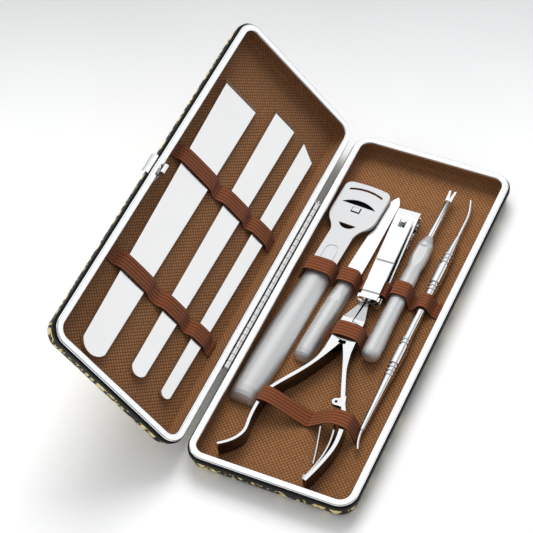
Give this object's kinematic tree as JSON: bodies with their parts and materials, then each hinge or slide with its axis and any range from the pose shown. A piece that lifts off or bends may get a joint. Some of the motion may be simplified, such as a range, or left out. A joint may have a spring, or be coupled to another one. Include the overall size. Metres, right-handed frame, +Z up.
{
  "type": "pedicure knife set",
  "caption": "Hinged flat case with a chrome rim, opened to show pedicure knives in its lid and foot-care tools held by elastic straps in its base tray.",
  "frame": {"origin": "middle of the base tray's underside, on the table", "axes": "+X from the hinge to the base tray's free side, +Y along the hinge towards the tool tips, +Z up"},
  "size_m": [0.1416, 0.2036, 0.0714],
  "materials": {
    "rim_chrome": "polished",
    "piping": "satin",
    "cover": "glossy print",
    "shell": "matt",
    "lining": "woven",
    "hinge_steel": "plated",
    "button_chrome": "polished",
    "spring_steel": "satin",
    "elastic": "ribbed elastic",
    "tool_steel": "polished",
    "tool_chrome": "polished",
    "blade_steel": "ground"
  },
  "bodies": {
    "base": {"base_rim": "rim_chrome", "base_piping": "piping", "base_leatherette": "cover", "base_shell": "shell", "base_lining": "lining", "hinge_leaf_base": "hinge_steel", "hinge_pin": "hinge_steel", "tool_strap": "elastic", "nipper_jaw_strap": "elastic", "nipper_handle_strap": "elastic", "nipper_right_half": "tool_steel", "nipper_pivot_screw": "tool_steel", "nipper_inner_leaf": "spring_steel", "nipper_thin_leaf": "spring_steel", "nipper_leaf_screw": "tool_steel"},
    "latch": {"latch_button": "button_chrome", "latch_hook": "hinge_steel"},
    "knife_wide": {"knife_wide": "tool_steel"},
    "knife_medium": {"knife_medium": "tool_steel"},
    "knife_narrow": {"knife_narrow": "tool_steel"},
    "corn_plane": {"corn_plane_handle": "tool_chrome", "corn_plane_head": "tool_chrome", "corn_plane_blade": "blade_steel", "corn_plane_clamp": "tool_chrome"},
    "nail_file": {"nail_file_handle": "tool_chrome", "nail_file_blade": "blade_steel"},
    "clipper": {"clipper_lower_arm": "tool_chrome", "clipper_rivet": "tool_chrome", "clipper_pin": "tool_chrome"},
    "clipper_arm": {"clipper_upper_arm": "tool_chrome"},
    "clipper_lever": {"clipper_lever": "tool_chrome"},
    "cuticle_fork": {"cuticle_fork_handle": "tool_chrome", "cuticle_fork_shaft": "tool_steel"},
    "pick": {"pick_handle": "tool_chrome", "pick_kicked_tip": "tool_steel", "pick_curved_tip": "tool_steel"},
    "nipper_left": {"nipper_left_half": "tool_steel"},
    "lid": {"lid_rim": "rim_chrome", "lid_piping": "piping", "lid_leatherette": "cover", "lid_shell": "shell", "lid_lining": "lining", "hinge_leaf_lid": "hinge_steel", "knife_strap_upper": "elastic", "knife_strap_lower": "elastic", "latch_spring": "spring_steel"}
  },
  "joints": [
    {"name": "lid_hinge", "type": "hinge", "parent": "base", "child": "lid", "pos_m": [-0.04105, 0, 0.01085], "axis": [0, -1, 0], "range_deg": [-132.2, 0]},
    {"name": "latch_press", "type": "slide", "parent": "lid", "child": "latch", "axis": [0.6717, 0, -0.7408], "range_m": [0, 0.0012], "stiffness_N_per_m": 600, "deforming": ["latch_spring"]},
    {"name": "wide_knife_draw", "type": "slide", "parent": "lid", "child": "knife_wide", "axis": [-0.0088, 0.9999, 0.0097], "range_m": [0, 0.024]},
    {"name": "medium_knife_draw", "type": "slide", "parent": "lid", "child": "knife_medium", "axis": [0.0006, 1, -0.0006], "range_m": [0, 0.015]},
    {"name": "narrow_knife_draw", "type": "slide", "parent": "lid", "child": "knife_narrow", "axis": [0.007, 0.9999, -0.0078], "range_m": [0, 0.015]},
    {"name": "corn_plane_draw", "type": "slide", "parent": "base", "child": "corn_plane", "axis": [0.048, 0.9988, 0], "range_m": [0, 0.018]},
    {"name": "nail_file_draw", "type": "slide", "parent": "base", "child": "nail_file", "axis": [0.0499, 0.9988, 0], "range_m": [0, 0.012]},
    {"name": "clipper_draw", "type": "slide", "parent": "base", "child": "clipper", "axis": [-0.0297, 0.9996, 0], "range_m": [0, 0.025]},
    {"name": "clipper_squeeze", "type": "hinge", "parent": "clipper", "child": "clipper_arm", "pos_m": [0.0024, 0.01198, 0.00435], "axis": [-0.9996, -0.0297, 0], "range_deg": [0, 1.6], "stiffness_Nm_per_rad": 3},
    {"name": "clipper_lever_flip", "type": "hinge", "parent": "clipper", "child": "clipper_lever", "pos_m": [0.00108, 0.05646, 0.01085], "axis": [-0.9996, -0.0297, 0], "range_deg": [0, 150]},
    {"name": "cuticle_fork_draw", "type": "slide", "parent": "base", "child": "cuticle_fork", "axis": [0, 1, 0], "range_m": [0, 0.01]},
    {"name": "pick_draw", "type": "slide", "parent": "base", "child": "pick", "axis": [0, 1, 0], "range_m": [0, 0.009]},
    {"name": "nipper_squeeze", "type": "hinge", "parent": "base", "child": "nipper_left", "pos_m": [0.00159, -0.01349, 0.0026], "axis": [0, 0, 1], "range_deg": [0, 2.5], "stiffness_Nm_per_rad": 0.6}
  ]
}
